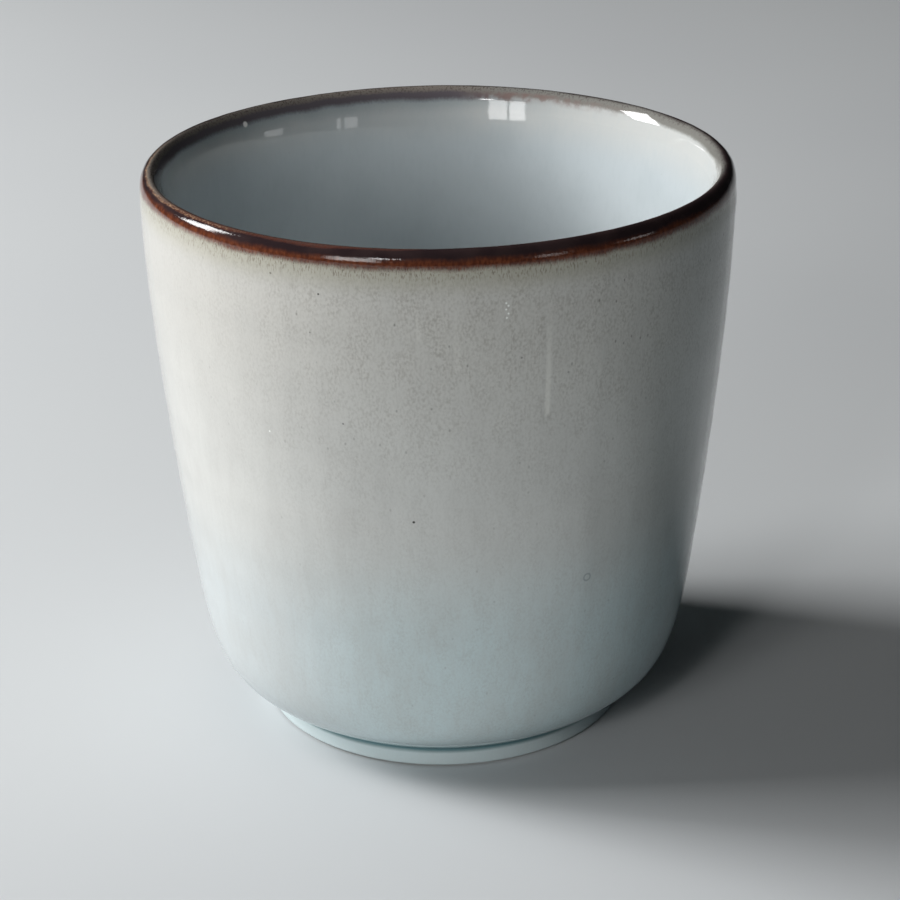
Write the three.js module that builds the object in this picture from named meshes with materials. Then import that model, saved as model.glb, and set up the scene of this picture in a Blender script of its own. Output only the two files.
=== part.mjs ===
// A round stoneware coffee cup without a handle: a fired clay body on a foot ring, a pale glaze
// outside and inside, and an iron-brown glaze over the lip.
// Millimetres, +Z up. The origin is on the table, on the axis of the cup.

import * as THREE from "three";

// Overall sizes, measured over the glaze
const cupHeight = 87.1;
const bodyRadius = 44;

// Wall between the heel and the upright band below the lip. A lean is in degrees from upright,
// and a reach is how far a curve holds its direction before it bends away.
const wallFootRadius = 38.1;
const wallFootHeight = 18.4;
const wallFootThickness = 4.2;
const uprightBand = 4.3;
const wallLean = 10;
const wallFootReach = 7;
const wallTopReach = 17;
const insideFootReach = 22;

// Heel, which turns the wall in towards the foot
const heelLean = 57;
const heelFootReach = 7.5;
const heelWallReach = 11;

// Foot ring, and the groove that parts it from the heel
const footRadius = 28.2;
const footWidth = 4.4;
const footEdge = 0.2;
const footShoulder = 0.35;
const shoulderTurn = 55;
const grooveHeight = 2.95;

// Floor of the cup, measured up from the groove
const floorThickness = 5;

// Lip, with its crest nearer to the outside than to the mouth. A bevel falls from the crest to the
// edge of the mouth, and from there the throat leans in to the full thickness of the wall.
const lipWidth = 2.9;
const crestInset = 1.5;
const lipOuterDrop = 2.4;
const lipInnerDrop = 1.3;
const bevelLean = 40;
const bevelReach = 0.65;
const throatLean = 17;
const throatReach = 6;

// Glaze coats. The bond gap is the clearance between a coat and the clay that carries it.
const glazeThickness = 0.45;
const bondGap = 0.05;
const bareFootBand = 0.1;
const lipGlazeReach = 2.7;
const basePool = 0.5;

// Facets of the turned surfaces
const turnFacets = 56;
const shoulderFacets = 2;
const heelFacets = 7;
const wallFacets = 6;
const lipOuterFacets = 5;
const bevelFacets = 4;
const insideFacets = 7;
const cornerFacets = 5;

// Handle length, as a share of the radius, that makes a cubic curve follow a quarter circle
const roundHandle = 0.5523;

// A right angle, in degrees
const quarterTurn = 90;

// Sizes that follow from the ones above
const coat = glazeThickness + bondGap;
const mouthRadius = bodyRadius - lipWidth;
const crestRadius = bodyRadius - crestInset;
const mouthHeight = cupHeight - lipInnerDrop;
const lipEdgeHeight = cupHeight - lipOuterDrop;
const floorHeight = grooveHeight + floorThickness;
const footInside = footRadius - footWidth;

// Profiles are drawn in the half plane of radius and height

function at(radius, height) {
  return new THREE.Vector2(radius, height);
}

// A step of some length in a direction that leans outwards from upright
function leaning(degrees, length) {
  const angle = THREE.MathUtils.degToRad(degrees);
  return at(Math.sin(angle), Math.cos(angle)).multiplyScalar(length);
}

// A smooth curve that leaves its start along one step and comes to its end along another
function sweep(start, startStep, end, endStep, facets) {
  const curve = new THREE.CubicBezierCurve(
    start,
    start.clone().add(startStep),
    end.clone().sub(endStep),
    end,
  );
  return curve.getPoints(facets);
}

// A stretch of an upright ellipse between two angles, in degrees from the outward direction
function roundOff(centre, radiusAcross, radiusUp, fromDegrees, toDegrees, facets) {
  const curve = new THREE.EllipseCurve(
    centre.x,
    centre.y,
    radiusAcross,
    radiusUp,
    THREE.MathUtils.degToRad(fromDegrees),
    THREE.MathUtils.degToRad(toDegrees),
  );
  return curve.getPoints(facets);
}

// Joins stretches that each begin where the one before ends
function chain(...stretches) {
  return stretches.flatMap((stretch, index) => (index === 0 ? stretch : stretch.slice(1)));
}

// Moves a profile sideways, to the left of its direction, with its corners kept sharp
function inset(profile, distance) {
  const sides = profile.slice(1).map((point, index) => {
    const along = point.clone().sub(profile[index]).normalize();
    return at(-along.y, along.x);
  });
  return profile.map((point, index) => {
    const before = sides[Math.max(index - 1, 0)];
    const after = sides[Math.min(index, sides.length - 1)];
    const corner = before.clone().add(after).divideScalar(1 + before.dot(after));
    return point.clone().addScaledVector(corner, distance);
  });
}

// The glazed surface, as one line from the foot over the lip to the middle of the floor

// Side of the foot ring, rounded at its top into the groove
function footStretch() {
  const radius = footShoulder + coat;
  const rise = radius * Math.sin(THREE.MathUtils.degToRad(shoulderTurn));
  const centre = at(footRadius - radius, grooveHeight - rise);
  const glazeEnd = at(footRadius, footEdge + bareFootBand);
  return [glazeEnd, ...roundOff(centre, radius, radius, 0, shoulderTurn, shoulderFacets)];
}

// Heel, wall and the upright band up to the edge of the lip
function outsideStretch(groove) {
  const wallFoot = at(wallFootRadius, wallFootHeight);
  const widest = at(bodyRadius, lipEdgeHeight - uprightBand);
  const heel = sweep(
    groove,
    leaning(heelLean, heelFootReach),
    wallFoot,
    leaning(wallLean, heelWallReach),
    heelFacets,
  );
  const wall = sweep(
    wallFoot,
    leaning(wallLean, wallFootReach),
    widest,
    leaning(0, wallTopReach),
    wallFacets,
  );
  return [...chain(heel, wall), at(bodyRadius, lipEdgeHeight)];
}

// Lip, from its outer edge over the crest and the bevel to where its glaze ends in the throat
function lipStretch() {
  const centre = at(crestRadius, lipEdgeHeight);
  const outer = roundOff(centre, crestInset, lipOuterDrop, 0, quarterTurn, lipOuterFacets);
  const mouth = at(mouthRadius, mouthHeight);
  const bevel = sweep(
    at(crestRadius, cupHeight),
    at(-bevelReach, 0),
    mouth,
    leaning(bevelLean, -bevelReach),
    bevelFacets,
  );
  const throat = mouth.clone().add(leaning(throatLean, -lipGlazeReach));
  return [...chain(outer, bevel), throat];
}

// Inside of the wall, the round corner at its foot, and the floor
function insideStretch(top) {
  const down = leaning(wallLean, -1);
  const thickness = leaning(wallLean + quarterTurn, -wallFootThickness);
  const foot = at(wallFootRadius, wallFootHeight).add(thickness);
  const wall = sweep(
    top,
    leaning(throatLean, -throatReach),
    foot,
    down.clone().multiplyScalar(insideFootReach),
    insideFacets,
  );
  const cornerSize = (floorHeight - foot.y) / down.y;
  const corner = foot.clone().addScaledVector(down, cornerSize);
  const floorEdge = corner.clone().sub(at(cornerSize, 0));
  const handle = cornerSize * roundHandle;
  const round = sweep(
    foot,
    down.clone().multiplyScalar(handle),
    floorEdge,
    at(-handle, 0),
    cornerFacets,
  );
  return [...chain(wall, round), at(0, floorHeight)];
}

const foot = footStretch();
const outside = outsideStretch(foot.at(-1));
const lip = lipStretch();
const inside = insideStretch(lip.at(-1));

const skin = chain(foot, outside, lip, inside);
const groove = foot.length - 1;
const lipStart = groove + outside.length - 1;
const lipEnd = lipStart + lip.length - 1;

const coatBack = inset(skin, glazeThickness);
const clayFace = inset(skin, coat);
const seatHeight = clayFace[groove].y;

// Materials

function ceramic(color, roughness) {
  return new THREE.MeshStandardMaterial({ color, roughness, metalness: 0 });
}

const stonewareClay = ceramic(0xc2b8a8, 0.85);
const footClay = ceramic(0xc4beb2, 0.9);
const paleGlaze = ceramic(0xc6c7c0, 0.12);
const linerGlazeFinish = ceramic(0xc4cacb, 0.1);
const ironGlaze = ceramic(0x4b2a1d, 0.1);
const baseGlazeFinish = ceramic(0xbdc5c3, 0.15);

// Turned solids

// Turns a profile about the axis. The profile runs outwards below and inwards above.
function turned(name, profile, material) {
  const geometry = new THREE.LatheGeometry(profile, turnFacets);
  geometry.rotateX(Math.PI / 2);
  const mesh = new THREE.Mesh(geometry, material);
  mesh.name = name;
  return mesh;
}

// A coat of glaze over the stretch of the skin between two of its points
function glazeRing(name, start, end, material) {
  const front = skin.slice(start, end + 1);
  const back = coatBack.slice(start, end + 1).reverse();
  return turned(name, [...front, ...back, front[0]], material);
}

// Clay cup with a flat underside inside the groove
function stonewareBody() {
  const profile = [at(0, seatHeight), ...clayFace.slice(groove)];
  return turned("stoneware_body", profile, stonewareClay);
}

// Clay ring that stands on the table with its bare, flat underside
function footRing() {
  const outer = clayFace.slice(0, groove + 1);
  const profile = [
    at(footInside + footEdge, 0),
    at(outer[0].x - footEdge, 0),
    at(outer[0].x, footEdge),
    ...outer,
    at(footInside, seatHeight),
    at(footInside, footEdge),
    at(footInside + footEdge, 0),
  ];
  return turned("foot_ring", profile, footClay);
}

// Pale coat from the foot up to the lip
function outerGlaze() {
  return glazeRing("outer_glaze", 0, lipStart, paleGlaze);
}

// Iron-brown coat that wraps over the lip
function rimGlaze() {
  return glazeRing("rim_glaze", lipStart, lipEnd, ironGlaze);
}

// Pale coat that lines the inside, with no break at the middle of the floor
function linerGlaze() {
  const front = skin.slice(lipEnd);
  const back = coatBack.slice(lipEnd).reverse();
  return turned("liner_glaze", [...back, ...front], linerGlazeFinish);
}

// Coat under the floor, thicker where it pools against the foot ring
function baseGlaze() {
  const edge = footInside - bondGap;
  const top = seatHeight - bondGap;
  const bottom = seatHeight - coat;
  const profile = [
    at(0, bottom),
    at(edge - basePool, bottom),
    at(edge, bottom - basePool),
    at(edge, top),
    at(0, top),
  ];
  return turned("base_glaze", profile, baseGlazeFinish);
}

const cup = new THREE.Group();
cup.add(
  stonewareBody(),
  footRing(),
  outerGlaze(),
  rimGlaze(),
  linerGlaze(),
  baseGlaze(),
);

export default cup;
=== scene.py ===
"""Looks of a stoneware coffee cup: a pale glaze outside and inside, an iron-brown glaze over the lip,
and a bare clay foot ring. Metres, +Z up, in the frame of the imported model."""

import math

import bpy
import numpy as np
from mathutils import Matrix, Vector


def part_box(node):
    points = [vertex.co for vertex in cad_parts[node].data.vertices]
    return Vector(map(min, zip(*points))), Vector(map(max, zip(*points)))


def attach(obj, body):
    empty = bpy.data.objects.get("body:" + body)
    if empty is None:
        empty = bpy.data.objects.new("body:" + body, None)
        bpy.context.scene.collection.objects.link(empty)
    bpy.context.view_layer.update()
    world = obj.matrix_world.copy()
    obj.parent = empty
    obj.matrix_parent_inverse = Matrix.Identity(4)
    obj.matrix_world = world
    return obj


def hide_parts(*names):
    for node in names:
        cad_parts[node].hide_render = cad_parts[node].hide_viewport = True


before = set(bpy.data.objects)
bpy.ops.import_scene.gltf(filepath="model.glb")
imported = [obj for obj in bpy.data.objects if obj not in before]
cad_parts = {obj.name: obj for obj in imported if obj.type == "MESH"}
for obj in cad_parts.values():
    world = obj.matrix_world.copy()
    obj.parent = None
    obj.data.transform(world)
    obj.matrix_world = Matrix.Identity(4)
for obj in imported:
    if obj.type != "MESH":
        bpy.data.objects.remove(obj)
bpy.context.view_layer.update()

# Sizes that the frame gives
_, RIM_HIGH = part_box("rim_glaze")
OUTER_LOW, OUTER_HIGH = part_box("outer_glaze")
LINER_LOW, LINER_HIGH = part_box("liner_glaze")
_, FOOT_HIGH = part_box("foot_ring")
BASE_LOW, BASE_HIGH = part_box("base_glaze")

BODY_RADIUS = RIM_HIGH.x
CUP_HEIGHT = RIM_HIGH.z
LIP_EDGE_HEIGHT = OUTER_HIGH.z
RIM_SEAM_HEIGHT = LINER_HIGH.z
GLAZE_END_HEIGHT = OUTER_LOW.z
SEAT_HEIGHT = FOOT_HIGH.z

# Glaze coats
GLAZE_THICKNESS = 0.00045
BOND_GAP = 0.00005
GLAZE_BEAD = 0.00015
COAT = GLAZE_THICKNESS + BOND_GAP

# Wall, heel and foot, over the glaze. Leans are in degrees from upright.
WALL_FOOT_RADIUS = 0.0381
WALL_FOOT_HEIGHT = 0.0184
WALL_FOOT_THICKNESS = 0.0042
UPRIGHT_BAND = 0.0043
WALL_LEAN = 10
WALL_FOOT_REACH = 0.007
WALL_TOP_REACH = 0.017
INSIDE_FOOT_REACH = 0.022
HEEL_LEAN = 57
HEEL_FOOT_REACH = 0.0075
HEEL_WALL_REACH = 0.011
CLAY_FOOT_RADIUS = FOOT_HIGH.x
FOOT_RADIUS = CLAY_FOOT_RADIUS + COAT
FOOT_INSIDE = BASE_HIGH.x + BOND_GAP
FOOT_EDGE = 0.0002
FOOT_SHOULDER = 0.00035
SHOULDER_TURN = 55
GROOVE_HEIGHT = 0.00295
GROOVE_FILLET = 0.00045
FLOOR_HEIGHT = LINER_LOW.z + GLAZE_THICKNESS
BASE_POOL = 0.0005

# Lip, with a bevel from its crest to the edge of the mouth, and a throat that leans in below it
LIP_WIDTH = 0.0029
CREST_INSET = 0.0015
LIP_INNER_DROP = 0.0013
BEVEL_LEAN = 40
BEVEL_REACH = 0.00065
THROAT_LEAN = 17
THROAT_REACH = 0.006
MOUTH_FILLET = 0.0006
MOUTH_RADIUS = BODY_RADIUS - LIP_WIDTH
CREST_RADIUS = BODY_RADIUS - CREST_INSET
MOUTH_HEIGHT = CUP_HEIGHT - LIP_INNER_DROP

# Fineness of the turned surfaces
SEGMENTS = 288
FOOT_STEP = 0.0002
FOOT_EDGE_STEP = 0.0001
HEEL_STEP = 0.0007
WALL_STEP = 0.0011
LIP_STEP = 0.00014
BAND_STEP = 0.0003
INSIDE_STEP = 0.0013
BACK_STRIDE = 5
CENTRE_HOLE = 0.0006
FILLET_ROWS = 4
ROUND_HANDLE = 0.5523
CURVE_SAMPLES = 400
SHARP_ANGLE = 35
ANGLES = np.arange(SEGMENTS) * (2 * math.pi / SEGMENTS)

# Unevenness of the hand-finished surface: heights, places along the skin and lengths. Waves round the
# axis are given by share, count and start.
OVAL = 0.00008
OVAL_WAVES = ((1.0, 2, 0.7), (0.6, 3, -1.1))
RIPPLE = 0.000018
RIPPLE_LENGTH = 0.0078
RIPPLE_SWAY = 1.3
RIPPLE_START = 0.4
FINE_RIPPLE = 0.000008
FINE_RIPPLE_LENGTH = 0.0043
FINE_RIPPLE_SWAY = 1.9
RUN = 0.000007
RUNS_ROUND = (17, 29, 43, 61)
RUN_SWAY = 0.6
RUN_SWAY_LENGTH = 0.07
ROLL = 0.00011
ROLL_PLACE = 0.0058
ROLL_SPREAD = 0.0019
ROLL_WAVES = ((0.3, 5, 0.0), (0.2, 11, 1.0))
LIP_WAVE = 0.00006
LIP_WAVE_SPREAD = 0.004
LIP_WAVES = ((1.0, 2, 2.0), (0.5, 5, -1.0))
TRUE_FOOT = 0.004
TRUE_HEEL = 0.03
INSIDE_CALM = 0.4


# Profiles, in the half plane of radius and height


def at(radius, height):
    return np.array((radius, height))


def leaning(degrees, length):
    """A step of some length in a direction that leans outwards from upright."""
    angle = math.radians(degrees)
    return at(math.sin(angle), math.cos(angle)) * length


def line(*points):
    return np.array(points)


def sweep(start, start_step, end, end_step):
    """A smooth curve that leaves its start along one step and comes to its end along another."""
    t = np.linspace(0.0, 1.0, CURVE_SAMPLES)[:, None]
    first, second = start + start_step, end - end_step
    return ((1 - t) ** 3 * start + 3 * t * (1 - t) ** 2 * first
            + 3 * t ** 2 * (1 - t) * second + t ** 3 * end)


def round_off(centre, across, up, from_degrees, to_degrees):
    """A stretch of an upright ellipse between two angles from the outward direction."""
    t = np.radians(np.linspace(from_degrees, to_degrees, CURVE_SAMPLES))
    return centre + np.stack((across * np.cos(t), up * np.sin(t)), axis=1)


def evenly(points, spacing, trim_start=0.0, trim_end=0.0):
    """Evenly spaced points along a line, with a length trimmed off each end."""
    steps = np.linalg.norm(np.diff(points, axis=0), axis=1)
    run = np.concatenate(([0.0], np.cumsum(steps)))
    length = run[-1] - trim_start - trim_end
    places = np.linspace(trim_start, run[-1] - trim_end, 2 + int(length / spacing))
    return np.stack([np.interp(places, run, points[:, axis]) for axis in (0, 1)], axis=1)


def chain(*stretches):
    """Joins stretches that each begin where the one before ends."""
    return np.concatenate([stretches[0]] + [stretch[1:] for stretch in stretches[1:]])


def filleted(before, before_step, after, after_step, reach):
    """Two stretches with the corner between them rounded over some reach to each side."""
    corner = before[-1]
    start = evenly(before, before_step, trim_end=reach)
    end = evenly(after, after_step, trim_start=reach)
    bend = sweep(start[-1], (corner - start[-1]) * ROUND_HANDLE,
                 end[0], (end[0] - corner) * ROUND_HANDLE)
    return chain(start, evenly(bend, reach / FILLET_ROWS), end)


def outward(profile):
    """Unit normals of a profile, to the right of its direction."""
    along = np.gradient(profile, axis=0)
    normals = np.stack((along[:, 1], -along[:, 0]), axis=1)
    return normals / np.linalg.norm(normals, axis=1, keepdims=True)


def shoulder_profile(radius_cut):
    """Rounded top of the foot ring, cut back by some depth."""
    radius = FOOT_SHOULDER + COAT
    rise = radius * math.sin(math.radians(SHOULDER_TURN))
    centre = at(FOOT_RADIUS - radius, GROOVE_HEIGHT - rise)
    return round_off(centre, radius - radius_cut, radius - radius_cut, 0, SHOULDER_TURN)


def foot_profile():
    """Side of the glazed foot, from the bead where the glaze ends up to the groove."""
    centre = at(FOOT_RADIUS - GLAZE_BEAD, GLAZE_END_HEIGHT + GLAZE_BEAD)
    bead = round_off(centre, GLAZE_BEAD, GLAZE_BEAD, -90, 0)
    shoulder = shoulder_profile(0.0)
    return chain(bead, line(bead[-1], shoulder[0]), shoulder)


def groove_stretches():
    """Foot and heel, with the glaze that fills the bottom of the groove between them."""
    foot = foot_profile()
    heel = sweep(foot[-1], leaning(HEEL_LEAN, HEEL_FOOT_REACH),
                 at(WALL_FOOT_RADIUS, WALL_FOOT_HEIGHT), leaning(WALL_LEAN, HEEL_WALL_REACH))
    return filleted(foot, FOOT_STEP, heel, HEEL_STEP, GROOVE_FILLET)


def wall_stretches():
    """Wall and the upright band up to the outer edge of the lip."""
    widest = at(BODY_RADIUS, LIP_EDGE_HEIGHT - UPRIGHT_BAND)
    wall = sweep(at(WALL_FOOT_RADIUS, WALL_FOOT_HEIGHT), leaning(WALL_LEAN, WALL_FOOT_REACH),
                 widest, leaning(0, WALL_TOP_REACH))
    band = line(widest, at(BODY_RADIUS, LIP_EDGE_HEIGHT))
    return chain(evenly(wall, WALL_STEP), evenly(band, BAND_STEP))


def throat_end():
    """Where the glaze of the lip meets the liner."""
    drop = (MOUTH_HEIGHT - RIM_SEAM_HEIGHT) / math.cos(math.radians(THROAT_LEAN))
    return at(MOUTH_RADIUS, MOUTH_HEIGHT) + leaning(THROAT_LEAN, -drop)


def lip_stretches():
    """Lip up to its crest, and from the crest down to the seam inside the mouth."""
    outer = round_off(at(CREST_RADIUS, LIP_EDGE_HEIGHT), CREST_INSET,
                      CUP_HEIGHT - LIP_EDGE_HEIGHT, 0, 90)
    bevel = sweep(outer[-1], at(-BEVEL_REACH, 0),
                  at(MOUTH_RADIUS, MOUTH_HEIGHT), leaning(BEVEL_LEAN, -BEVEL_REACH))
    throat = line(bevel[-1], throat_end())
    inner = filleted(bevel, LIP_STEP, throat, BAND_STEP, MOUTH_FILLET)
    return evenly(outer, LIP_STEP), inner


def inside_stretches():
    """Inside of the wall, the round corner at its foot, and the floor almost to its middle."""
    down = leaning(WALL_LEAN, -1)
    foot = (at(WALL_FOOT_RADIUS, WALL_FOOT_HEIGHT)
            + leaning(WALL_LEAN + 90, -WALL_FOOT_THICKNESS))
    wall = sweep(throat_end(), leaning(THROAT_LEAN, -THROAT_REACH),
                 foot, down * INSIDE_FOOT_REACH)
    size = (FLOOR_HEIGHT - foot[1]) / down[1]
    floor_edge = foot + down * size - at(size, 0)
    corner = sweep(foot, down * size * ROUND_HANDLE, floor_edge, at(-size * ROUND_HANDLE, 0))
    floor = line(floor_edge, at(CENTRE_HOLE, FLOOR_HEIGHT))
    return chain(*(evenly(part, INSIDE_STEP) for part in (wall, corner, floor)))


# Turned surfaces: rows of the profile, segments round the axis, coordinates


def turned(profile):
    radius, height = profile[:, :1], profile[:, 1:]
    return np.stack((radius * np.cos(ANGLES), radius * np.sin(ANGLES),
                     height * np.ones(SEGMENTS)), axis=2)


def grid_normals(points):
    """Unit normals of turned rows, by differences along the profile and round the axis."""
    round_axis = np.roll(points, -1, axis=1) - np.roll(points, 1, axis=1)
    normals = np.cross(round_axis, np.gradient(points, axis=0))
    return normals / np.linalg.norm(normals, axis=2, keepdims=True)


def smooth(low, high, value):
    """Rises from 0 at low to 1 at high."""
    t = np.clip((value - low) / (high - low), 0.0, 1.0)
    return t * t * (3 - 2 * t)


def hump(place, spread, value):
    return np.exp(-((value - place) / spread) ** 2)


def waves(turn, parts):
    """Sum of waves round the axis."""
    return sum(share * np.cos(count * turn + start) for share, count, start in parts)


def unevenness(profile, along):
    """How far the glaze stands proud of its true profile, for each row and segment."""
    turn, height, run = ANGLES[None, :], profile[:, 1:], along[:, None]
    way = 2 * math.pi * run
    oval = OVAL * waves(turn, OVAL_WAVES)
    oval = oval * np.sign(run) * smooth(0.0, LIP_WAVE_SPREAD, np.abs(run))
    swell = np.sin(way / RIPPLE_LENGTH + RIPPLE_SWAY * np.sin(turn + RIPPLE_START))
    fine_swell = np.sin(way / FINE_RIPPLE_LENGTH + FINE_RIPPLE_SWAY * np.sin(2 * turn))
    runs = sum(np.cos(count * turn + count ** 2 + RUN_SWAY * np.sin(way / RUN_SWAY_LENGTH + count))
               for count in RUNS_ROUND)
    roll = hump(ROLL_PLACE, ROLL_SPREAD, run) * (1 + waves(turn, ROLL_WAVES))
    wave = hump(0.0, LIP_WAVE_SPREAD, run) * waves(turn, LIP_WAVES)
    body = oval + RIPPLE * swell + FINE_RIPPLE * fine_swell + RUN * runs + ROLL * roll
    outside = smooth(-LIP_WAVE_SPREAD, LIP_WAVE_SPREAD, run)
    body = body * (INSIDE_CALM + (1 - INSIDE_CALM) * outside)
    return smooth(TRUE_FOOT, TRUE_HEEL, height) * body + LIP_WAVE * wave


class Skin:
    """The whole glazed surface, from the foot over the lip to the middle of the floor.
    Along is the way from the crest of the lip, above zero outside and below zero inside."""

    def __init__(self):
        outside = chain(groove_stretches(), wall_stretches())
        outer_lip, inner_lip = lip_stretches()
        self.profile = chain(outside, outer_lip, inner_lip, inside_stretches())
        self.lip_start = len(outside) - 1
        self.crest = self.lip_start + len(outer_lip) - 1
        self.lip_end = self.crest + len(inner_lip) - 1
        self.last = len(self.profile) - 1
        steps = np.linalg.norm(np.diff(self.profile, axis=0), axis=1)
        run = np.concatenate(([0.0], np.cumsum(steps)))
        self.along = run[self.crest] - run
        self.side = outward(self.profile)
        proud = unevenness(self.profile, self.along)
        self.points = turned(self.profile) + proud[:, :, None] * turned(self.side)
        self.normals = grid_normals(self.points)

    def front(self, first, last):
        rows = slice(first, last + 1)
        return self.points[rows], self.along[rows], self.normals[rows]

    def back(self, first, last):
        """Hidden side of a coat, in the opposite direction. Its normals are left to the mesh."""
        rows = sorted({first, last, *range(first, last, BACK_STRIDE)}, reverse=True)
        points = turned(self.profile[rows] - GLAZE_THICKNESS * self.side[rows])
        return points, self.along[rows], np.zeros_like(points)


def joined(*sheets):
    return (np.concatenate(arrays) for arrays in zip(*sheets))


# Meshes


def tiles(first, second):
    """Faces between two rings of vertex numbers."""
    return np.stack((first, np.roll(first, -1), np.roll(second, -1), second), axis=1)


def caps(numbers, first_pole, last_pole):
    """Fans of faces that close the first and the last ring."""
    first, last = numbers[0].tolist(), numbers[-1].tolist()
    below = [(first_pole, after, here) for here, after in zip(first, first[1:] + first[:1])]
    above = [(last_pole, here, after) for here, after in zip(last, last[1:] + last[:1])]
    return below + above


def added(name, data):
    """A new object in the scene."""
    item = bpy.data.objects.new(name, data)
    bpy.context.scene.collection.objects.link(item)
    return item


def shade(mesh, normals, quads, shown, fans):
    """Smooth shading, with the given normals at the corners of the quads that have them."""
    mesh.shade_smooth()
    mesh.set_sharp_from_angle(angle=math.radians(SHARP_ANGLE))
    corners = np.where(shown[:, None], normals.reshape(-1, 3)[quads.ravel()], 0.0)
    left_to_mesh = np.zeros((sum(len(fan) for fan in fans), 3))
    mesh.normals_split_custom_set(np.concatenate((corners, left_to_mesh)).tolist())


def solid(name, rings, along, normals, capped=False):
    """A closed mesh from rings of points, which run round to the first ring again or are capped."""
    count = len(rings)
    numbers = np.arange(count * SEGMENTS).reshape(count, SEGMENTS)
    rows = np.arange(count - 1 if capped else count)
    after = (rows + 1) % count
    quads = np.concatenate([tiles(numbers[a], numbers[b]) for a, b in zip(rows, after)])
    points, ways, fans = rings.reshape(-1, 3), np.repeat(along, SEGMENTS), []
    if capped:
        fans = caps(numbers, len(points), len(points) + 1)
        points = np.concatenate((points, [rings[0].mean(axis=0), rings[-1].mean(axis=0)]))
        ways = np.concatenate((ways, along[[0, -1]]))
    mesh = bpy.data.meshes.new(name)
    mesh.from_pydata(points.tolist(), [], quads.tolist() + fans)
    mesh.attributes.new("along", "FLOAT", "POINT").data.foreach_set("value", ways)
    given = normals.any(axis=(1, 2))
    shown = np.repeat(given[rows] & given[after], SEGMENTS * quads.shape[1])
    shade(mesh, normals, quads, shown, fans)
    return added(name, mesh)


def plain_solid(name, profile, capped=False):
    """A turned solid without unevenness."""
    rings = turned(profile)
    return solid(name, rings, np.zeros(len(rings)), np.zeros_like(rings), capped)


def foot_ring_piece():
    """Bare clay ring with rounded edges at the table."""
    inner = round_off(at(FOOT_INSIDE + FOOT_EDGE, FOOT_EDGE), FOOT_EDGE, FOOT_EDGE, 180, 270)
    outer = round_off(at(CLAY_FOOT_RADIUS - FOOT_EDGE, FOOT_EDGE), FOOT_EDGE, FOOT_EDGE, -90, 0)
    shoulder = shoulder_profile(COAT)
    top = at(shoulder[-1][0], SEAT_HEIGHT)
    rounded = [evenly(part, FOOT_EDGE_STEP) for part in (inner, outer, shoulder)]
    inner_top = at(FOOT_INSIDE, SEAT_HEIGHT)
    return plain_solid("foot_ring_clay", np.concatenate(rounded + [line(top, inner_top)]))


def base_glaze_piece():
    """Coat under the floor, which pools against the foot ring."""
    edge = FOOT_INSIDE - BOND_GAP
    top = SEAT_HEIGHT - BOND_GAP
    bottom = SEAT_HEIGHT - COAT
    pool = sweep(at(edge - 2 * BASE_POOL, bottom), at(BASE_POOL, 0),
                 at(edge, bottom - BASE_POOL), at(0, -BASE_POOL / 2))
    under = evenly(line(at(CENTRE_HOLE, bottom), pool[0]), INSIDE_STEP)
    upper = line(at(edge, top), at(CENTRE_HOLE, top))
    profile = np.concatenate((under, evenly(pool, FOOT_STEP)[1:], upper))
    return plain_solid("base_glaze_coat", profile, capped=True)


def coat(name, skin, first, last, hidden_first):
    """A closed ring of glaze over a stretch of the skin."""
    return solid(name, *joined(skin.front(first, last), skin.back(hidden_first, last)))


def liner_coat(name, skin):
    """Coat inside the cup, with no break at the middle of the floor."""
    sheets = skin.back(skin.lip_end, skin.last), skin.front(skin.lip_end, skin.last)
    return solid(name, *joined(*sheets), capped=True)


def on_row(skin, row, degrees):
    """Place on a row of the skin at some turn round the axis."""
    segment = round(degrees / 360 * SEGMENTS) % SEGMENTS
    radius = math.hypot(*skin.points[row, segment, :2])
    turn = math.radians(degrees)
    return radius * math.cos(turn), radius * math.sin(turn), skin.points[row, segment, 2]


def nearest_row(skin, first, last, height):
    """Row in a stretch of the skin that is nearest to a height."""
    return first + int(np.abs(skin.profile[first:last, 1] - height).argmin())


def on_outside(skin, degrees, height):
    """Place on the glazed outside at some turn and height."""
    x, y, _ = on_row(skin, nearest_row(skin, 0, skin.lip_start, height), degrees)
    return x, y, height


def in_throat(skin, degrees, height):
    """Place on the lip inside the crest at some turn and about some height."""
    return on_row(skin, nearest_row(skin, skin.crest, skin.lip_end, height), degrees)


# Small flaws of the glaze, and painted glints: turns in degrees round the axis, heights, sizes and
# shares

PINHOLES = (
    dict(turn=264.4, height=0.0470, size=0.00026, strength=1.0),
    dict(turn=284.5, height=0.0715, size=0.0002, strength=0.5),
    dict(turn=239.0, height=0.0825, size=0.00022, strength=0.8),
    dict(turn=248.4, height=0.0805, size=0.00019, strength=0.9),
    dict(turn=246.4, height=0.0748, size=0.00018, strength=0.5),
    dict(turn=251.8, height=0.0617, size=0.0002, strength=0.6),
    dict(turn=293.5, height=0.0684, size=0.00022, strength=0.4),
)
# Pale dots that are painted glints, highlights on tiny grains of the glaze
PAINTED_GLINTS = (
    (281.6, 0.0796),
    (282.0, 0.0792),
    (281.6, 0.0787),
    (282.0, 0.0781),
    (281.7, 0.0775),
    (235.9, 0.0585),
)
PAINTED_GLINT_SIZE = 0.00019
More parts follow.
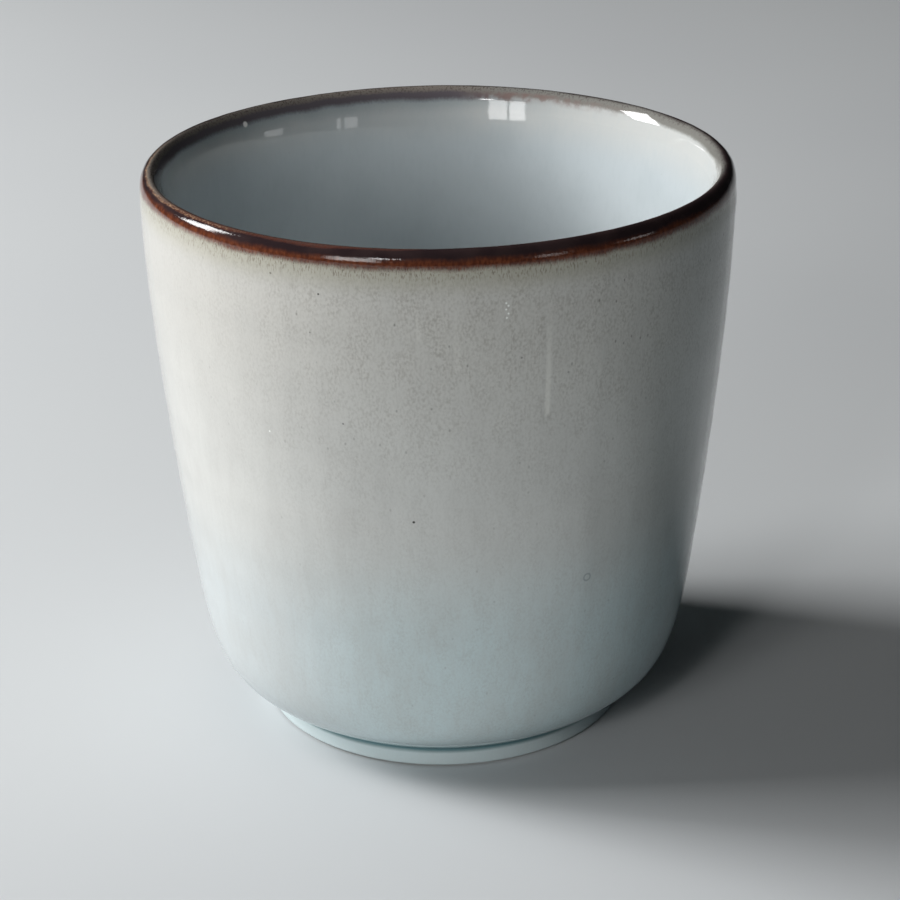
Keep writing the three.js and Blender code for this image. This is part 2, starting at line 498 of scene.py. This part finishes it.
# A painted glint on the lip inside the mouth: a pale dot for the highlight on a tiny grain
INSIDE_PAINTED_GLINT_TURN = 138.0
INSIDE_PAINTED_GLINT_HEIGHT = 0.0851
INSIDE_PAINTED_GLINT_SIZE = 0.0006
BUBBLE_TURN = 300.6
BUBBLE_HEIGHT = 0.0348
BUBBLE_SIZE = 0.0006
BUBBLE_RING = (0.6, 0.8, 1.0, 1.25)
BUBBLE_SHARE = 0.6
RUNS = (
    dict(turn=289.6, start=0.0828, end=0.0620, width=0.0006, strength=0.42),
    dict(turn=266.2, start=0.0812, end=0.0742, width=0.0006, strength=0.14),
    dict(turn=272.9, start=0.0806, end=0.0698, width=0.0006, strength=0.14),
    dict(turn=300.1, start=0.0697, end=0.0661, width=0.0005, strength=0.12),
)
RUN_CORE = 0.25
RUN_END = 0.0008
RUN_STRONGEST = 0.002

# Materials


def srgb(red, green, blue):
    """A colour for a shader, from its screen values up to 255."""
    def linear(value):
        share = value / 255
        return share / 12.92 if share <= 0.04045 else ((share + 0.055) / 1.055) ** 2.4
    return (linear(red), linear(green), linear(blue), 1.0)


PALE_HEEL = srgb(210, 222, 222)
# Painted light: the heel's colour on its lit left side
PALE_HEEL_PAINTED_LIT_SIDE = srgb(209, 213, 213)
PALE_MIDDLE = srgb(215, 213, 208)
PALE_TOP = srgb(204, 200, 193)
PALE_STREAK = srgb(194, 191, 186)
PALE_MOTTLE = srgb(158, 151, 142)
PALE_SPECK = srgb(112, 108, 101)
PALE_RUN = srgb(244, 240, 231)
# Colour of the painted glints
PAINTED_GLINT = srgb(248, 247, 242)
PINHOLE = srgb(62, 58, 54)
BUBBLE = srgb(150, 158, 160)
# Teal of the heel and groove, partly pooled glaze and partly painted shade of the groove
HEEL_TEAL_AND_SHADE = srgb(136, 164, 169)
FOOT_TEAL = srgb(208, 221, 222)
GROOVE_TEAL_AND_SHADE = srgb(80, 118, 123)
HALO = srgb(171, 166, 148)
HAIR = srgb(92, 72, 58)
RUST = srgb(82, 42, 29)
RUST_LIGHT = srgb(112, 62, 41)
IRON = srgb(44, 33, 35)
IRON_BROWN = srgb(56, 43, 43)
IRON_RED = srgb(84, 46, 37)
TAN = srgb(200, 166, 132)
BEVEL = srgb(127, 120, 113)
BEVEL_RIGHT = srgb(129, 128, 123)
STAIN = srgb(98, 92, 97)
BLUSH = srgb(130, 112, 107)
FAINT_STAIN = srgb(146, 156, 160)
LINER = srgb(195, 203, 206)
LINER_WARM = srgb(199, 198, 193)
LINER_STREAK = srgb(182, 191, 194)
LINER_SPECK = srgb(150, 152, 150)
CLAY = srgb(192, 189, 180)
CLAY_DARK = srgb(172, 163, 148)
CLAY_SPECK = srgb(116, 98, 80)
BASE_PALE = srgb(189, 197, 195)
BASE_POOLED = srgb(132, 158, 160)

# Range of most values of a noise, core of a speck as a share of its size, and share of the specks
# that show in full
NOISE_RANGE = (0.3, 0.7)
SPECK_CORE = 0.4
FULL_SPECKS = 0.6


class Look:
    """A procedural material, whose nodes are wired as they are added."""

    def __init__(self, name):
        self.material = bpy.data.materials.new(name)
        self.material.use_nodes = True
        self.tree = self.material.node_tree
        self.shader = self.tree.nodes["Principled BSDF"]
        self.place = self.add("ShaderNodeTexCoord").outputs["Object"]
        self.along = self.add("ShaderNodeAttribute", attribute_name="along").outputs["Fac"]
        parts = self.add("ShaderNodeSeparateXYZ", {"Vector": self.place}).outputs
        self.across, self.away, self.height = parts["X"], parts["Y"], parts["Z"]

    def add(self, kind, inputs=None, **settings):
        node = self.tree.nodes.new(kind)
        for setting, value in settings.items():
            setattr(node, setting, value)
        for socket, value in (inputs or {}).items():
            self.feed(node.inputs[socket], value)
        return node

    def feed(self, socket, value):
        if isinstance(value, bpy.types.NodeSocket):
            self.tree.links.new(value, socket)
        else:
            socket.default_value = value

    def maths(self, operation, first, second):
        node = self.add("ShaderNodeMath", {0: first, 1: second}, operation=operation)
        return node.outputs["Value"]

    def times(self, first, second):
        return self.maths("MULTIPLY", first, second)

    def plus(self, first, second):
        return self.maths("ADD", first, second)

    def ramp(self, value, low, high, start=0.0, end=1.0):
        """Goes smoothly from start, where the value is low, to end, where it is high."""
        sockets = {"Value": value, "From Min": low, "From Max": high, "To Min": start, "To Max": end}
        node = self.add("ShaderNodeMapRange", sockets, interpolation_type="SMOOTHSTEP")
        return node.outputs["Result"]

    def fade(self, value, places, share=1.0):
        """Falls smoothly from a share to nothing between two places."""
        return self.ramp(value, *places, share, 0.0)

    def band(self, value, rise_from, rise_to, fall_from, fall_to):
        """Rises to 1 and falls back to 0 as the value grows."""
        return self.times(self.ramp(value, rise_from, rise_to), self.fade(value, (fall_from, fall_to)))

    def mix(self, factor, under, over):
        node = self.add("ShaderNodeMix", {0: factor, 6: under, 7: over}, data_type="RGBA")
        return node.outputs[2]

    def noise(self, size, upright=1.0, detail=2.0, offset=0.0):
        """Soft random values in patches of some size, which may be longer upright than round."""
        shift = self.add("ShaderNodeMapping", {"Vector": self.place, "Scale": (1.0, 1.0, 1 / upright),
                                               "Location": (offset, offset, offset)})
        sockets = {"Vector": shift.outputs["Vector"], "Scale": 1 / size, "Detail": detail}
        return self.add("ShaderNodeTexNoise", sockets).outputs["Fac"]

    def patches(self, edges, levels=(0.0, 1.0), **pattern):
        """A noise drawn apart, from one level below its edges to another above them."""
        return self.ramp(self.noise(**pattern), *edges, *levels)

    def swing(self, noise, reach):
        """A noise as a length between about minus and plus reach."""
        low, high = NOISE_RANGE
        sockets = {"Value": noise, "From Min": low, "From Max": high,
                   "To Min": -reach, "To Max": reach}
        return self.add("ShaderNodeMapRange", sockets, clamp=False).outputs["Result"]

    def specks(self, spacing, size, share, upright=1.0):
        """Small spots at random places, of which only a share shows."""
        stretched = self.add("ShaderNodeMapping",
                             {"Vector": self.place, "Scale": (1.0, 1.0, 1 / upright)})
        cells = self.add("ShaderNodeTexVoronoi",
                         {"Vector": stretched.outputs["Vector"], "Scale": 1 / spacing})
        chance = self.add("ShaderNodeSeparateColor", {"Color": cells.outputs["Color"]})
        radius = size / spacing
        spot = self.fade(cells.outputs["Distance"], (radius * SPECK_CORE, radius))
        return self.times(spot, self.ramp(chance.outputs["Red"], 1 - share, 1 - share * FULL_SPECKS))

    def vector_maths(self, operation, vector):
        sockets = {0: self.place, 1: vector}
        return self.add("ShaderNodeVectorMath", sockets, operation=operation).outputs["Value"]

    def distance(self, point):
        return self.vector_maths("DISTANCE", point)

    def reach(self, direction):
        """How far a place lies along a direction from the origin."""
        return self.vector_maths("DOT_PRODUCT", direction)

    def spot(self, point, size):
        """1 at a point, and 0 from some distance on."""
        return self.fade(self.distance(point), (size / 2, size))

    def relief(self, height, depth):
        """Shades a height as fine relief of some depth."""
        bump = self.add("ShaderNodeBump", {"Height": height, "Distance": depth, "Strength": 1.0})
        self.feed(self.shader.inputs["Normal"], bump.outputs["Normal"])

    def finish(self, colour, roughness):
        self.feed(self.shader.inputs["Base Color"], colour)
        self.feed(self.shader.inputs["Roughness"], roughness)
        return self.material


# Pale glaze outside. Fades are the heights, or the places across the cup, between which it changes,
# edges are values of a noise, and shares say how much of a colour shows.

# Places across the cup between which the painted light on the left of the heel fades
HEEL_PAINTED_LIT_FADE = (-0.032, -0.004)
HEEL_FADE = (0.024, 0.046)
TOP_FADE = (0.045, 0.083)
CLOUDS = dict(size=0.009, upright=1.6, detail=3.0, edges=(0.38, 0.68))
CLOUD_SHARE = 0.25
STREAKS = dict(size=0.0009, upright=9.0, offset=0.6, edges=(0.4, 0.7))
STREAK_SHARE = 0.1
MOTTLE = dict(size=0.00032, upright=1.5, detail=3.0, edges=(0.34, 0.76))
MOTTLE_PATCHES = dict(size=0.0021, upright=2.0, offset=0.35, edges=(0.3, 0.7), levels=(0.5, 1.15))
MOTTLE_HEIGHT = dict(low=0.04, high=0.084, start=0.2, end=0.64)
MOTTLE_SIDE = dict(low=-0.042, high=-0.004, start=0.25, end=1.0)
SPECKS = dict(spacing=0.0012, size=0.00021, share=0.2, upright=1.5)


def pale_outside(look):
    """Pale glaze: cooler at the heel, less so on its left where light is painted, warmer near the lip,
    streaked, mottled and specked.
    """
    # Painted light: the heel is less cool on the left, where the lamps light it
    heel = look.mix(look.ramp(look.across, *HEEL_PAINTED_LIT_FADE), PALE_HEEL_PAINTED_LIT_SIDE, PALE_HEEL)
    colour = look.mix(look.ramp(look.height, *HEEL_FADE), heel, PALE_MIDDLE)
    colour = look.mix(look.ramp(look.height, *TOP_FADE), colour, PALE_TOP)
    streaked = look.plus(look.times(look.patches(**CLOUDS), CLOUD_SHARE),
                         look.times(look.patches(**STREAKS), STREAK_SHARE))
    colour = look.mix(streaked, colour, PALE_STREAK)
    near_lip = look.times(look.ramp(look.height, **MOTTLE_HEIGHT), look.ramp(look.across, **MOTTLE_SIDE))
    patchy = look.times(near_lip, look.patches(**MOTTLE_PATCHES))
    colour = look.mix(look.times(look.patches(**MOTTLE), patchy), colour, PALE_MOTTLE)
    colour = look.mix(look.times(look.specks(**SPECKS), near_lip), colour, PALE_SPECK)
    return pooled_and_shaded_at_groove(look, colour)


def from_groove(*steps):
    """Heights at some steps up from the groove."""
    return tuple(GROOVE_HEIGHT + step for step in steps)


# Teal glaze about the groove, with painted shade where the heel turns into it

HEEL_POOL_AND_SHADE = from_groove(-0.0003, 0.0, 0.0, 0.005)
HEEL_POOL_AND_SHADE_SHARE = 0.6
FOOT_TINT = from_groove(-0.0004, 0.0)
FOOT_TINT_SHARE = 0.7
GROOVE_LINE_AND_SHADE = from_groove(-0.0008, -0.0001, 0.0002, 0.003)
GROOVE_LINE_AND_SHADE_SHARE = 0.9


def pooled_and_shaded_at_groove(look, colour):
    """Teal glaze with painted shade, which pools in the groove, thins out up the heel and tints the
    foot.
    """
    # Pooled teal glaze up the heel, darkened towards the groove as painted shade
    pooled = look.times(look.band(look.height, *HEEL_POOL_AND_SHADE), HEEL_POOL_AND_SHADE_SHARE)
    colour = look.mix(pooled, colour, HEEL_TEAL_AND_SHADE)
    colour = look.mix(look.fade(look.height, FOOT_TINT, FOOT_TINT_SHARE), colour, FOOT_TEAL)
    # Dark line in the groove: pooled glaze and painted shade of the crease
    groove = look.times(look.band(look.height, *GROOVE_LINE_AND_SHADE), GROOVE_LINE_AND_SHADE_SHARE)
    return look.mix(groove, colour, GROOVE_TEAL_AND_SHADE)


# Iron glaze outside. Fades are ways along the skin from the crest of the lip, and reaches say how far a
# noise moves them.

HAIRS = dict(size=0.00016, upright=4.0)
HAIR_REACH = 0.0002
HAIR_EDGES = (0.53, 0.67)
HAIR_FADE = (0.0028, 0.0062)
HAIR_SHARE = 0.8
STRANDS = dict(size=0.0004, upright=6.0, offset=0.2)
STRAND_REACH = 0.00008
STRAND_EDGES = (0.58, 0.72)
STRAND_FADE = (0.003, 0.0062)
STRAND_SHARE = 0.35
IRON_WANDER = dict(size=0.005, offset=0.3)
IRON_WANDER_REACH = 0.0002
LEFT_LIFT = 0.0005
LEFT_LIFT_SIDE = (-0.043, -0.022)
HALO_FADE = (0.003, 0.0078)
HALO_SHARE = 0.8
RUST_FLECKS = dict(size=0.0005, upright=1.5, detail=3.0, offset=0.7, edges=(0.35, 0.7))
RUST_FADE = (0.0027, 0.0036)
IRON_FADE = (0.0014, 0.0024)
IRON_CLOUDS = dict(size=0.004, offset=0.5, edges=(0.35, 0.7))


def iron(look):
    return look.mix(look.patches(**IRON_CLOUDS), IRON, IRON_BROWN)


def iron_outside(look, colour):
    """Iron glaze over the outside of the lip, with hairs that run down into the pale glaze. It lies
    higher at the left."""
    hair, strand = look.noise(**HAIRS), look.noise(**STRANDS)
    wander = look.swing(look.noise(**IRON_WANDER), IRON_WANDER_REACH)
    raised = look.plus(look.along, look.fade(look.across, LEFT_LIFT_SIDE, LEFT_LIFT))
    slow = look.plus(raised, look.plus(look.swing(strand, STRAND_REACH), wander))
    edge = look.plus(slow, look.swing(hair, HAIR_REACH))
    colour = look.mix(look.fade(slow, HALO_FADE, HALO_SHARE), colour, HALO)
    strands = look.times(look.ramp(strand, *STRAND_EDGES), look.fade(slow, STRAND_FADE, STRAND_SHARE))
    colour = look.mix(strands, colour, HAIR)
    hairs = look.times(look.ramp(hair, *HAIR_EDGES), look.fade(edge, HAIR_FADE, HAIR_SHARE))
    colour = look.mix(hairs, colour, HAIR)
    rust = look.mix(look.patches(**RUST_FLECKS), RUST, RUST_LIGHT)
    colour = look.mix(look.fade(edge, RUST_FADE), colour, rust)
    return look.mix(look.fade(slow, IRON_FADE), colour, iron(look))


# Liner glaze

LINER_WARMTH = dict(low=-0.011, high=-0.003, start=0.0, end=0.7)
LINER_STREAKS = dict(size=0.0007, upright=3.0, detail=3.0, edges=(0.45, 0.75))
LINER_STREAK_SHARE = 0.16
LINER_CLOUDS = dict(size=0.01, detail=3.0, edges=(0.4, 0.7))
LINER_CLOUD_SHARE = 0.35
LINER_SPECKS = dict(spacing=0.0014, size=0.0002, share=0.05, upright=1.5)
LINER_SPECK_SHARE = 0.5


def pale_inside(look):
    """Liner glaze, warmer near the mouth, faintly streaked and specked."""
    colour = look.mix(look.ramp(look.along, **LINER_WARMTH), LINER, LINER_WARM)
    streaked = look.plus(look.times(look.patches(**LINER_STREAKS), LINER_STREAK_SHARE),
                         look.times(look.patches(**LINER_CLOUDS), LINER_CLOUD_SHARE))
    colour = look.mix(streaked, colour, LINER_STREAK)
    return look.mix(look.times(look.specks(**LINER_SPECKS), LINER_SPECK_SHARE), colour, LINER_SPECK)


# Iron inside the mouth. Depths are ways along the skin down from the crest of the lip, sides are places
# across the cup, above zero at the right, and fronts are places from front to back, below zero in front.

IRON_GRAIN = dict(size=0.0003, upright=1.5, detail=1.0, offset=0.2)
IRON_GRAIN_REACH = 0.00008
STAIN_WANDER = dict(size=0.006, offset=0.9)
STAIN_WANDER_REACH = 0.00016
RIGHT_SIDE = (0.002, 0.014)
FAINT_STAIN_DEPTH = (0.0018, 0.0055)
FAINT_STAIN_SHARE = 0.9
FAINT_STAIN_SIDE = (-0.004, 0.03)
BEVEL_DEPTH = (0.0015, 0.0023)
BEVEL_RED_FRONT = (-0.026, -0.008)
BEVEL_RED_SHARE = 0.85
STAIN_DEPTHS = (0.0008, 0.0015, 0.0020, 0.0031)
STAIN_SIDE = (0.01, 0.037)
STAIN_PATCHES = dict(size=0.0016, offset=0.8, edges=(0.36, 0.62), levels=(0.3, 1.0))
GRANULE_EDGES = (0.5, 0.66)
GRANULE_DEPTH = (0.0002, 0.0017)
GRANULE_SHARE = 0.7


def stained_inside(look, colour):
    """Iron that thins over the bevel of the mouth, in granules, and leaves a stain below it."""
    grain = look.noise(**IRON_GRAIN)
    wander = look.swing(look.noise(**STAIN_WANDER), STAIN_WANDER_REACH)
    depth = look.plus(look.times(look.along, -1.0),
                      look.plus(look.swing(grain, IRON_GRAIN_REACH), wander))
    colour = thin_iron(look, colour, depth)
    granules = look.times(look.ramp(grain, *GRANULE_EDGES),
                          look.fade(depth, GRANULE_DEPTH, GRANULE_SHARE))
    return end_of_iron(look, look.mix(granules, colour, IRON_BROWN), depth, grain)


def thin_iron(look, colour, depth):
    """Thin iron on the bevel, red at the front, and the stain below it, which breaks up and fades to
    the right."""
    to_right = look.ramp(look.across, *RIGHT_SIDE)
    faint = look.times(look.fade(depth, FAINT_STAIN_DEPTH, FAINT_STAIN_SHARE),
                       look.fade(look.across, FAINT_STAIN_SIDE))
    colour = look.mix(faint, colour, FAINT_STAIN)
    red = look.fade(look.away, BEVEL_RED_FRONT, BEVEL_RED_SHARE)
    bevel = look.mix(red, look.mix(to_right, BEVEL, BEVEL_RIGHT), IRON_RED)
    colour = look.mix(look.fade(depth, BEVEL_DEPTH), colour, bevel)
    whole = look.maths("MAXIMUM", look.patches(**STAIN_PATCHES), look.fade(look.across, RIGHT_SIDE))
    stain = look.times(look.band(depth, *STAIN_DEPTHS), whole)
    stain = look.times(stain, look.fade(look.across, STAIN_SIDE))
    return look.mix(stain, colour, look.mix(to_right, STAIN, BLUSH))


# Edge of the full iron, with the same depths, sides and fronts

EARLY_SLANT = 0.6
EARLY_FRONT = (-0.03, -0.008)
EARLY_SIDE = (-0.016, 0.004)
EARLY_DEPTH = 0.0008
DOT_SIDE = (-0.037, -0.022)
DOT_SHARE = 0.7
DOT_EDGES = (0.5, 0.6)
DOT_DEPTHS = (0.0001, 0.0002, 0.0005, 0.0008)
RED_DEPTH = (0.0002, 0.0005)
RED_BREAKS = dict(low=0.4, high=0.6, start=1.0, end=0.3)
SOFTENING = dict(low=0.0, high=0.03, start=1.0, end=0.4)
IRON_DEPTH = (-0.0001, 0.0003)


def end_of_iron(look, colour, depth, grain):
    """Full iron at the crest. At the front and left it ends early, in a red line and tan dots, and to
    the right its end is softer."""
    slanted = look.plus(look.away, look.times(look.across, EARLY_SLANT))
    early = look.times(look.fade(slanted, EARLY_FRONT), look.fade(look.across, EARLY_SIDE))
    inner = look.plus(depth, look.times(early, EARLY_DEPTH))
    dotted = look.times(early, look.fade(look.across, DOT_SIDE, DOT_SHARE))
    dots = look.times(look.ramp(grain, *DOT_EDGES), look.band(inner, *DOT_DEPTHS))
    colour = look.mix(look.times(dots, dotted), colour, TAN)
    red = look.times(look.fade(inner, RED_DEPTH), early)
    colour = look.mix(look.times(red, look.ramp(grain, **RED_BREAKS)), colour, IRON_RED)
    softened = look.times(inner, look.ramp(look.across, **SOFTENING))
    return look.mix(look.fade(softened, IRON_DEPTH), colour, iron(look))


def pale_run(look, turn, start, end, width, strength):
    """Share of a run of pale glaze, which is strongest near its lower end."""
    turn, core = math.radians(turn), width * RUN_CORE
    facing = look.ramp(look.reach((math.cos(turn), math.sin(turn), 0.0)), 0.0, BODY_RADIUS / 2)
    sideways = look.reach((-math.sin(turn), math.cos(turn), 0.0))
    across = look.band(sideways, -width, -core, core, width)
    upright = look.band(look.height, end, end + RUN_END, end + RUN_STRONGEST, start)
    return look.times(look.times(across, upright), look.times(facing, strength))


def marked(look, colour, skin):
    """Small flaws of the glaze outside: pinholes, a burst bubble, painted glints and pale runs."""
    for hole in PINHOLES:
        spot = look.spot(on_outside(skin, hole["turn"], hole["height"]), hole["size"])
        colour = look.mix(look.times(spot, hole["strength"]), colour, PINHOLE)
    # Painted glints: pale dots that stand for highlights on tiny grains
    for turn, height in PAINTED_GLINTS:
        colour = look.mix(look.spot(on_outside(skin, turn, height), PAINTED_GLINT_SIZE), colour, PAINTED_GLINT)
    away = look.distance(on_outside(skin, BUBBLE_TURN, BUBBLE_HEIGHT))
    ring = look.band(away, *(BUBBLE_SIZE * share for share in BUBBLE_RING))
    colour = look.mix(look.times(ring, BUBBLE_SHARE), colour, BUBBLE)
    for run in RUNS:
        colour = look.mix(pale_run(look, **run), colour, PALE_RUN)
    return colour


# Gloss and relief of the glaze

GLOSS = dict(size=0.004, detail=3.0, offset=0.4, edges=(0.3, 0.7), levels=(0.035, 0.07))
MATT_FOOT_FADE = (0.002, 0.0065)
MATT_FOOT_ROUGHNESS = 0.42
PEEL = dict(size=0.0011, upright=1.5, offset=0.1)
PEEL_CHANGE = dict(low=0.0, high=0.002, start=0.25, end=0.6)
PITS = dict(size=0.00024, upright=1.5)
PIT_ZONE = (-0.001, 0.0003, 0.0028, 0.0045)
PIT_SHARE = 1.4
GLAZE_RELIEF = 0.000012


def glaze_finish(look, colour):
    """Gloss of a glaze, matt near the foot, with a faint orange-peel, stronger outside, and fine pits
    where iron covers the lip."""
    roughness = look.plus(look.patches(**GLOSS),
                          look.fade(look.height, MATT_FOOT_FADE, MATT_FOOT_ROUGHNESS))
    peel = look.times(look.noise(**PEEL), look.ramp(look.along, **PEEL_CHANGE))
    pits = look.times(look.noise(**PITS), look.times(look.band(look.along, *PIT_ZONE), PIT_SHARE))
    look.relief(look.plus(peel, pits), GLAZE_RELIEF)
    return look.finish(colour, roughness)


def outer_look(skin):
    look = Look("pale_glaze")
    colour = iron_outside(look, marked(look, pale_outside(look), skin))
    return glaze_finish(look, colour)


# Ways along the skin between which the look of the inside gives way to that of the outside

OUTSIDE_START = (0.0009, 0.001)


def rim_look(skin):
    look = Look("iron_glaze")
    outside = iron_outside(look, pale_outside(look))
    inside = stained_inside(look, pale_inside(look))
    # Painted glint: a pale dot for a highlight on a grain at the mouth
    grain = look.spot(in_throat(skin, INSIDE_PAINTED_GLINT_TURN, INSIDE_PAINTED_GLINT_HEIGHT), INSIDE_PAINTED_GLINT_SIZE)
    inside = look.mix(grain, inside, PAINTED_GLINT)
    return glaze_finish(look, look.mix(look.ramp(look.along, *OUTSIDE_START), inside, outside))


def liner_look():
    look = Look("liner_glaze")
    return glaze_finish(look, stained_inside(look, pale_inside(look)))


# Glaze under the floor

BASE_POOL_SHARE = 0.8
BASE_CLOUDS = dict(size=0.006, detail=3.0, edges=(0.35, 0.7), levels=(0.0, 0.4))
BASE_SPECKS = dict(spacing=0.0011, size=0.0003, share=0.3)
BASE_SPECK_SHARE = 0.7


def base_look():
    look = Look("base_glaze")
    pooled = look.fade(look.height, (BASE_LOW.z, SEAT_HEIGHT - COAT), BASE_POOL_SHARE)
    colour = look.mix(look.patches(**BASE_CLOUDS), BASE_PALE, PALE_STREAK)
    colour = look.mix(look.times(look.specks(**BASE_SPECKS), BASE_SPECK_SHARE), colour, PALE_SPECK)
    return glaze_finish(look, look.mix(pooled, colour, BASE_POOLED))


# Bare clay

CLAY_GRAIN = dict(size=0.0005, detail=4.0)
CLAY_EDGES = (0.35, 0.7)
CLAY_ROUGHNESS = dict(low=0.3, high=0.7, start=0.82, end=0.95)
CLAY_SPECKS = dict(spacing=0.0012, size=0.0003, share=0.3)
CLAY_SPECK_SHARE = 0.8
CLAY_RELIEF = 0.00006


def clay_look(name):
    """Bare stoneware, sandy and matt, with iron specks."""
    look = Look(name)
    grain = look.noise(**CLAY_GRAIN)
    colour = look.mix(look.ramp(grain, *CLAY_EDGES), CLAY, CLAY_DARK)
    colour = look.mix(look.times(look.specks(**CLAY_SPECKS), CLAY_SPECK_SHARE), colour, CLAY_SPECK)
    look.relief(grain, CLAY_RELIEF)
    return look.finish(colour, look.ramp(grain, **CLAY_ROUGHNESS))


# Pieces


def dress(piece, material, node):
    """A piece stands for its node, rides with the cup and takes its finish from a slot."""
    piece.data.materials.append(material)
    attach(piece, "root")
    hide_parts(node)


def make_cup():
    skin = Skin()
    bead_rows = int(np.searchsorted(skin.profile[:, 1], GLAZE_END_HEIGHT + GLAZE_BEAD))
    outer = coat("outer_glaze_coat", skin, 0, skin.lip_start, bead_rows)
    rim = coat("rim_glaze_coat", skin, skin.lip_start, skin.lip_end, skin.lip_start)
    dress(outer, outer_look(skin), "outer_glaze")
    dress(rim, rim_look(skin), "rim_glaze")
    dress(liner_coat("liner_glaze_coat", skin), liner_look(), "liner_glaze")
    dress(base_glaze_piece(), base_look(), "base_glaze")
    dress(foot_ring_piece(), clay_look("foot_clay"), "foot_ring")
    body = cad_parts["stoneware_body"]
    body.data.materials.clear()
    body.data.materials.append(clay_look("clay"))


# Stage

FLOOR_RADIUS = 4.0
FLOOR_COLOUR = srgb(216, 219, 220)
FLOOR_SHADE = srgb(210, 213, 215)
FLOOR_BOUNCE = srgb(163, 178, 184)
FLOOR_CLOUDS = dict(size=0.3)
FLOOR_ROUGHNESS = (0.85, 0.95)
WORLD_COLOUR = srgb(238, 243, 246)
WORLD_STRENGTH = 0.012


def make_floor():
    """A plain pale floor with a faint cloudiness, which throws little light back on the cup."""
    mesh = bpy.data.meshes.new("floor")
    rim = turned(line(at(FLOOR_RADIUS, 0.0)))[0]
    mesh.from_pydata(rim.tolist(), [], [tuple(range(SEGMENTS))])
    look = Look("floor")
    cloud = look.noise(**FLOOR_CLOUDS)
    colour = look.mix(look.ramp(cloud, *NOISE_RANGE), FLOOR_COLOUR, FLOOR_SHADE)
    rays = look.add("ShaderNodeLightPath").outputs
    seen = look.maths("MAXIMUM", rays["Is Camera Ray"],
                      look.maths("MAXIMUM", rays["Is Glossy Ray"], rays["Is Transmission Ray"]))
    roughness = look.ramp(cloud, *NOISE_RANGE, *FLOOR_ROUGHNESS)
    mesh.materials.append(look.finish(look.mix(seen, FLOOR_BOUNCE, colour), roughness))
    floor = added("floor", mesh)


def make_world():
    world = bpy.data.worlds.new("studio")
    bpy.context.scene.world = world
    world.use_nodes = True
    background = world.node_tree.nodes["Background"]
    background.inputs["Color"].default_value = WORLD_COLOUR
    background.inputs["Strength"].default_value = WORLD_STRENGTH


# Lamps: turns and rises in degrees, sizes and distances in metres

AIM = Vector((0.0, 0.0, 0.06))
PANE = dict(rise=16, distance=1.2, width=0.152, height=0.30)
STRIP = dict(distance=1.2, lighting=False)
LAMPS = dict(
    side_lamp=dict(turn=166, rise=26, distance=1.1, width=0.3, height=0.38, watts=6.4),
    side_fill=dict(turn=173, rise=37, distance=1.1, width=0.6, height=0.7, watts=9.7,
                   mirrored=False),
    front_lamp=dict(turn=-126.2, watts=1.1, **PANE),
    second_front_lamp=dict(turn=-117.4, watts=1.0, **PANE),
    high_lamp=dict(turn=-112.5, rise=27, distance=1.2, width=0.14, height=0.1, watts=0.8),
    low_fill=dict(turn=-125, rise=12.5, distance=1.2, width=0.5, height=0.5, watts=3.0,
                  mirrored=False),
    right_strip=dict(turn=-51.6, rise=10, width=0.128, height=0.2, watts=0.18, **STRIP),
    thin_strip=dict(turn=-45.8, rise=10, width=0.04, height=0.2, watts=0.06, **STRIP),
    far_strip=dict(turn=-13, rise=8, width=0.2, height=0.13, watts=0.16, **STRIP),
)


def softbox(name, turn, rise, distance, width, height, watts, mirrored=True, lighting=True):
    """A soft rectangular lamp that looks at the cup. One that isn't mirrored lights the glaze without a
    highlight of its own, and one that isn't lighting shows as a highlight alone."""
    data = bpy.data.lights.new(name, "AREA")
    data.shape, data.size, data.size_y, data.energy = "RECTANGLE", width, height, watts
    lamp = added(name, data)
    turn, rise = math.radians(turn), math.radians(rise)
    way = Vector((math.cos(turn) * math.cos(rise), math.sin(turn) * math.cos(rise), math.sin(rise)))
    facing = (-way).to_track_quat("-Z", "Y").to_matrix().to_4x4()
    lamp.matrix_world = Matrix.Translation(AIM + way * distance) @ facing
    lamp.visible_camera = False
    lamp.visible_glossy = mirrored
    lamp.visible_diffuse = lighting


# Camera, with its turns in degrees

LENS = 96.0
SENSOR = 36.0
CAMERA_PLACE = Vector((0.0, -0.3438, 0.1869))
CAMERA_PITCH = 23.118
CAMERA_YAW = 0.209
CAMERA_ROLL = -0.816
CLIP_START = 0.01


def make_camera():
    pitch, yaw, roll = (math.radians(turn) for turn in (CAMERA_PITCH, CAMERA_YAW, CAMERA_ROLL))
    forward = Vector((math.sin(yaw) * math.cos(pitch), math.cos(yaw) * math.cos(pitch),
                      -math.sin(pitch)))
    level = Vector((math.cos(yaw), -math.sin(yaw), 0.0))
    upright = level.cross(forward)
    right = math.cos(roll) * level + math.sin(roll) * upright
    up = math.cos(roll) * upright - math.sin(roll) * level
    data = bpy.data.cameras.new("camera")
    data.lens, data.sensor_width, data.clip_start = LENS, SENSOR, CLIP_START
    camera = added("camera", data)
    turn = Matrix((right, up, -forward)).transposed().to_4x4()
    camera.matrix_world = Matrix.Translation(CAMERA_PLACE) @ turn
    bpy.context.scene.camera = camera


make_cup()
make_floor()
make_world()
for lamp_name, lamp in LAMPS.items():
    softbox(lamp_name, **lamp)
make_camera()
bpy.context.scene.view_settings.view_transform = "Standard"
